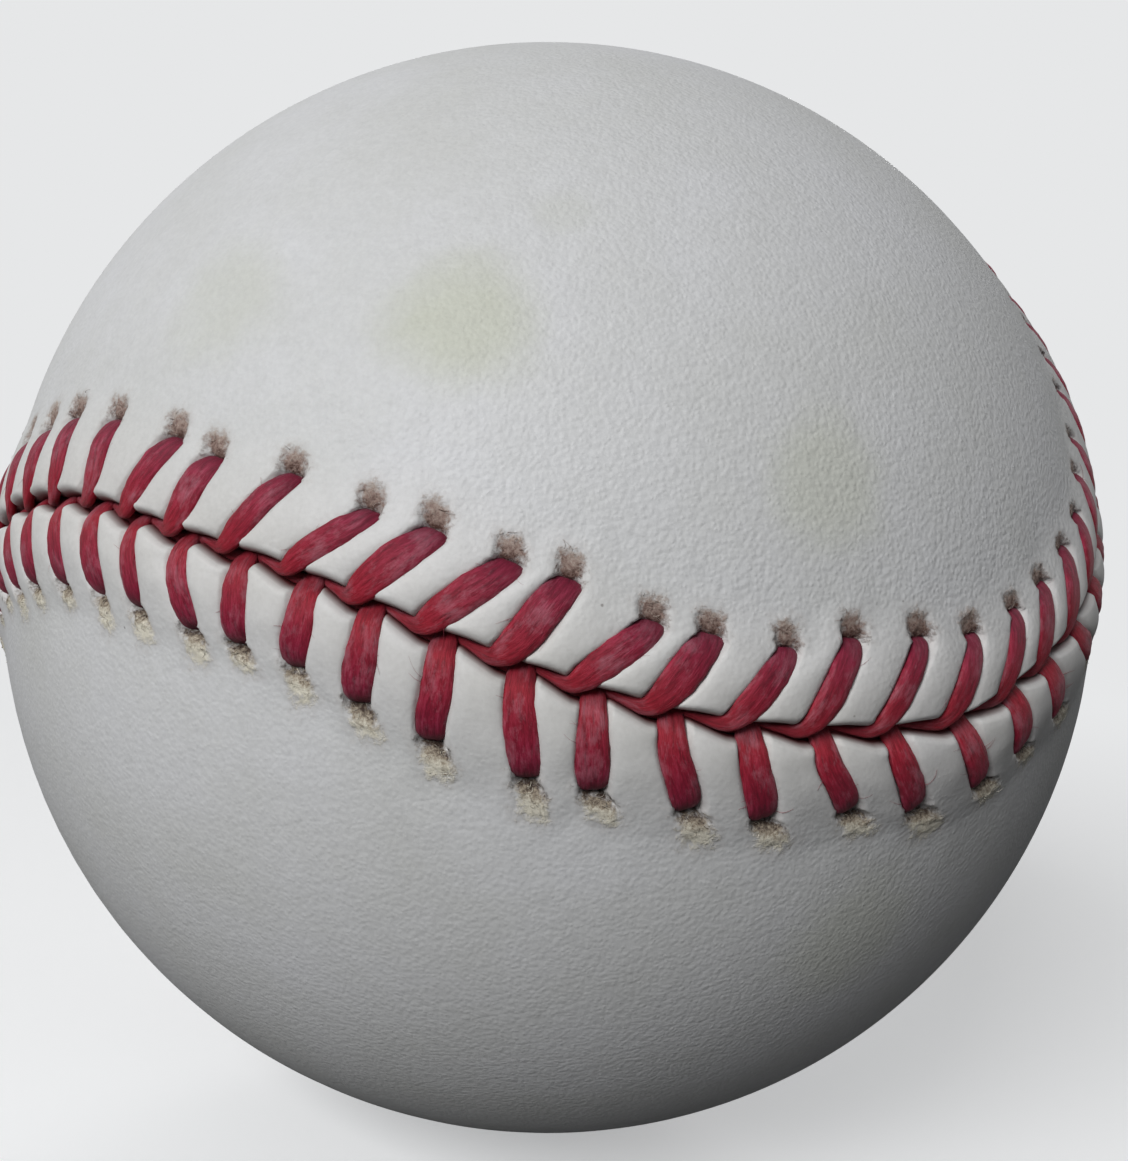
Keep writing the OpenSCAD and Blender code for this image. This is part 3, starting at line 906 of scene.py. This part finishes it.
def torn_fibres(name, side, finish):
    """Fibres of raw hide that stand out of the torn holes."""
    random = np.random.default_rng(41 + side)
    t = np.linspace(0, 1, HAIR_POINTS)
    lines, radii = [], []
    for k in range(STITCHES):
        for _ in range(TORN_FIBRES):
            v = HOLE_AT + random.uniform(0.15, 1.75 * PATCH_HALF_L[side])
            start = random.uniform(-0.6, 0.6)
            angle = random.uniform(-2.4, 2.4)
            reach = random.uniform(0.12, 0.42)
            bend = random.normal(0, 0.8)
            off = start + reach * (t * math.sin(angle) + bend * t * t)
            vs = np.maximum(v + reach * t * math.cos(angle), HOLE_AT + 0.1)
            low = leather_height(side, off, vs, 0.5, WIDTHS[side][k])
            height = low + 0.01 + random.uniform(0.02, 0.11) * np.sin(math.pi * t) ** 0.8
            lines.append(hair_line(side, k, off, vs, height))
            radii.append(random.uniform(0.008, 0.019))
    points, faces = strands(lines, radii)
    shade = np.repeat(random.random(len(lines)), HAIR_POINTS * HAIR_SIDES)
    make_piece(name, points, faces, finish, {"shade": shade})


def waxed_thread():
    """Crimson cotton thread, waxed: flat fibres, pale in patches where the wax has whitened, patches which
    are also a painted sheen highlight.
    """
    made, tree = material("waxed_crimson_thread")
    at = add(tree, "Attribute", attribute_name="thread_at").outputs["Vector"]
    to_hole = mark_of(tree, "to_hole")
    stretch = add(tree, "Mapping", {"Vector": at, "Rotation": (0, 0, 0.12), "Scale": (5.0, 0.9, 1.0)})
    streak = add(tree, "TexNoise", {"Vector": stretch, "Scale": 1.0, "Detail": 6, "Roughness": 0.7})
    fibre = add(tree, "Mapping", {"Vector": at, "Rotation": (0, 0, 0.10), "Scale": (16.0, 2.2, 1.0)})
    fibre = add(tree, "TexNoise", {"Vector": fibre, "Scale": 1.0, "Detail": 4, "Roughness": 0.7})
    near = add(tree, "ValToRGB", {"Fac": streak}, [(0.30, "6a0b1a"), (0.50, "991a2c"), (0.72, "b33042")])
    far = add(tree, "ValToRGB", {"Fac": streak}, [(0.30, "590c22"), (0.50, "891a36"), (0.72, "a93856")])
    tone = stained(tree, near, to_hole, 0.15, 0.8, 1.0, far)
    tone = shaded(tree, tone, fibre, [(0.30, 0.66), (0.62, 1.0)], 0.7)
    # Wax has whitened in patches along the top; the pale patches are also a painted sheen highlight.
    patch = add(tree, "Mapping", {"Vector": at, "Location": (9, 4, 2), "Scale": (0.9, 0.55, 1.0)})
    patch = add(tree, "TexNoise", {"Vector": patch, "Scale": 1.0, "Detail": 5, "Roughness": 0.75})
    patch = add(tree, "Math", {0: fibre, 1: 0.16, 2: patch}, operation="MULTIPLY_ADD")
    tone = stained(tree, tone, patch, 0.57, 0.82, 0.42, "c28c9a")
    # It is darker towards the hole, and down in the groove it is darkened with painted shade.
    tone = stained(tree, tone, to_hole, 0.78, 1.0, 0.55, "4a1026")
    tone = stained(tree, tone, to_hole, 0.14, 0.05, 0.4, "4a0f1a")
    bump = add(tree, "Bump", {"Height": fibre, "Strength": 0.7, "Distance": 0.06 * MM})
    bump = add(tree, "Bump", {"Height": streak, "Strength": 0.5, "Distance": 0.1 * MM, "Normal": bump})
    surface(tree, {"Base Color": tone, "Roughness": 0.58, "Specular IOR Level": 0.26, "Sheen Weight": 0.05,
                   "Sheen Roughness": 0.45, "Normal": bump})
    return made


# The layers inside

# The waves of a wave texture are this far apart when its scale is 1.
WAVE_L = math.tau / 20


def granulated_cork():
    """Ground cork bound with rubber: tan grains with dark specks of binder."""
    made, tree = material("granulated_cork")
    place = add(tree, "TexCoord").outputs["Object"]
    grains = add(tree, "TexVoronoi", {"Vector": place, "Scale": per_metre(1.6)})
    tone = add(tree, "ValToRGB", {"Fac": grains.outputs["Color"]},
               [(0.1, "4a3320"), (0.35, "8a6238"), (0.7, "b98c58"), (0.95, "d0a878")])
    bump = add(tree, "Bump", {"Height": grains, "Strength": 0.6, "Distance": 0.2 * MM})
    surface(tree, {"Base Color": tone, "Roughness": 0.85, "Normal": bump})
    return made


def moulded_rubber(name, low, high):
    """Moulded rubber: matt, with a faint bloom from the mould."""
    made, tree = material(name)
    place = add(tree, "TexCoord").outputs["Object"]
    bloom = add(tree, "TexNoise", {"Vector": place, "Scale": per_metre(3), "Detail": 5})
    tone = add(tree, "ValToRGB", {"Fac": bloom}, [(0.3, low), (0.7, high)])
    bump = add(tree, "Bump", {"Height": bloom, "Strength": 0.2, "Distance": 0.1 * MM})
    surface(tree, {"Base Color": tone, "Roughness": 0.6, "Normal": bump})
    return made


def wound_yarn(name, low, high, turn_mm):
    """Tightly wound yarn: turns that cross each other in many directions."""
    made, tree = material(name)
    place = add(tree, "TexCoord").outputs["Object"]
    patch = add(tree, "TexVoronoi", {"Vector": place, "Scale": per_metre(11)}).outputs["Color"]
    spread = add(tree, "VectorMath", {0: patch, 1: (6.0, 6.0, 6.0)}, operation="MULTIPLY")
    turned = add(tree, "VectorRotate", {"Vector": place, "Rotation": spread}, rotation_type="EULER_XYZ")
    turns = add(tree, "TexWave", {"Vector": turned, "Scale": WAVE_L * per_metre(turn_mm), "Distortion": 1.0,
                                  "Detail": 2.0}).outputs["Fac"]
    tone = add(tree, "ValToRGB", {"Fac": turns}, [(0.05, low), (0.6, high)])
    bump = add(tree, "Bump", {"Height": turns, "Strength": 0.8, "Distance": 0.3 * MM})
    surface(tree, {"Base Color": tone, "Roughness": 0.9, "Sheen Weight": 0.2, "Normal": bump})
    return made


def dress_inside():
    """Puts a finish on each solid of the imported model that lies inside."""
    black = moulded_rubber("moulded_black_rubber", "141414", "2a2a2b")
    red = moulded_rubber("moulded_red_rubber", "8a1712", "a62a22")
    grey = wound_yarn("grey_wool_yarn", "54565a", "8f9195", 1.0058)
    finishes = {
        "cork_core": granulated_cork(),
        "lower_black_shell": black,
        "upper_black_shell": black,
        "rubber_washer": red,
        "red_rubber_shell": red,
        "grey_wool_winding": grey,
        "white_wool_winding": wound_yarn("white_wool_yarn", "b9b4a6", "e4e0d4", 0.7544),
        "outer_grey_wool_winding": grey,
        "cotton_winding": wound_yarn("poly_cotton_yarn", "8b8474", "cfcabd", 0.3143),
    }
    for node, finish in finishes.items():
        solid = frame["nodes"][node]
        if not solid.material_slots:
            solid.data.materials.append(finish)
        for slot in solid.material_slots:
            slot.material = finish


# The stage

# The image's longer side, and the camera's focal length in the same pixels.
FRAME_H = 1161
FOCAL_PX = 1289.187
SENSOR = 36.0
# Where the camera stands, in metres, and its axes.
CAMERA_AT = Vector((0.01643370, -0.09323076, 0.00729126))
CAMERA_RIGHT = Vector((0.97613585, 0.17142923, 0.13330725))
CAMERA_UP = Vector((-0.14331071, 0.04731011, 0.98854630))
CAMERA_AHEAD = Vector((-0.16315895, 0.98405984, -0.07074874))
LAMP_DISTANCE = 0.80
BACKDROP = "e6e7e8"
# The floor touches the lowest stitch. It is plain near the ball and fades into the backdrop over this range.
FLOOR_Z = -37.91
FLOOR_R = 1.2
FLOOR_FADE = (0.10, 0.45)


def camera():
    """The camera, at the photograph's viewing angle."""
    data = bpy.data.cameras.new("camera")
    data.sensor_width = SENSOR
    data.lens = FOCAL_PX / FRAME_H * SENSOR
    data.clip_start = 0.005
    data.clip_end = 20
    made = bpy.data.objects.new("camera", data)
    turn = Matrix((CAMERA_RIGHT, CAMERA_UP, -CAMERA_AHEAD)).transposed().to_4x4()
    made.matrix_world = Matrix.Translation(CAMERA_AT) @ turn
    bpy.context.scene.collection.objects.link(made)
    bpy.context.scene.camera = made


def softbox(name, towards, size, watts, colour):
    """A square lamp that stands in that direction from the ball and faces it."""
    data = bpy.data.lights.new(name, "AREA")
    data.shape = "SQUARE"
    data.size = size
    data.energy = watts
    data.color = linear(colour)[:3]
    made = bpy.data.objects.new(name, data)
    direction = Vector(towards).normalized()
    turn = direction.to_track_quat("Z", "Y").to_matrix().to_4x4()
    made.matrix_world = Matrix.Translation(direction * LAMP_DISTANCE) @ turn
    bpy.context.scene.collection.objects.link(made)


def world():
    """Pale where the camera looks, and a low even fill on the ball."""
    made = bpy.data.worlds.new("world")
    tree = empty_tree(made)
    seen = add(tree, "LightPath")
    shown = add(tree, "Math", {0: seen.outputs["Is Camera Ray"], 1: seen.outputs["Is Glossy Ray"]},
                operation="MAXIMUM")
    shown = add(tree, "Math", {0: shown, 1: seen.outputs["Is Transmission Ray"]}, operation="MAXIMUM")
    fill = add(tree, "Background", {"Color": "ffffff", "Strength": 0.05})
    pale = add(tree, "Background", {"Color": BACKDROP, "Strength": 1.0})
    add(tree, "OutputWorld", {0: add(tree, "MixShader", {0: shown, 1: fill, 2: pale})})
    bpy.context.scene.world = made


def matt_floor():
    """A pale floor that keeps shadows near the ball and fades into the backdrop. It bounces little light."""
    made, tree = material("matt_floor")
    seen = add(tree, "LightPath")
    away = add(tree, "VectorMath", {0: add(tree, "TexCoord").outputs["Object"]}, operation="LENGTH")
    fade = add(tree, "MapRange", {"Value": away.outputs["Value"], "From Min": FLOOR_FADE[0],
                                  "From Max": FLOOR_FADE[1]}, interpolation_type="SMOOTHSTEP")
    lit = add(tree, "BsdfDiffuse", {"Color": "e0e1e2"})
    glow = add(tree, "Emission", {"Color": BACKDROP, "Strength": 0.45})
    near = add(tree, "AddShader", {0: lit, 1: glow})
    far = add(tree, "Emission", {"Color": BACKDROP, "Strength": 1.0})
    camera_side = add(tree, "MixShader", {0: fade, 1: near, 2: far})
    dim = add(tree, "BsdfDiffuse", {"Color": "585858"})
    both = add(tree, "MixShader", {0: seen.outputs["Is Camera Ray"], 1: dim, 2: camera_side})
    add(tree, "OutputMaterial", {0: both})
    return made


def floor():
    """A round floor under the ball."""
    bpy.ops.mesh.primitive_circle_add(vertices=96, radius=FLOOR_R, fill_type="NGON",
                                      location=(0, 0, FLOOR_Z * MM))
    disc = bpy.context.object
    disc.name = "floor"
    disc.data.materials.append(matt_floor())


camera()
world()
floor()
softbox("key", (-0.295, -0.84, 0.455), 0.36, 5.65, "ffffff")
softbox("side", (0.55, -0.78, 0.33), 0.40, 0.15, "f4f7ff")
# This one stands behind the ball, for the views of the other sides.
softbox("back", (-0.10, 0.95, 0.18), 0.36, 4.2, "ffffff")

thread = waxed_thread()
for letter, side in SIDES.items():
    panel = "cover_panel_" + letter
    legs = "stitches_" + letter
    cover_panel(panel + "_leather", side, alum_tanned_leather("alum_tanned_leather_" + letter, side), panel)
    torn_fibres("torn_holes_" + letter, side, raw_fibres("raw_leather_fibres_" + letter, side))
    stitches(legs + "_thread", side, thread, legs)
    loose_fibres("loose_thread_" + letter, side, thread)
groove_thread("groove_thread", thread)
dress_inside()

bpy.context.scene.view_settings.view_transform = "Standard"
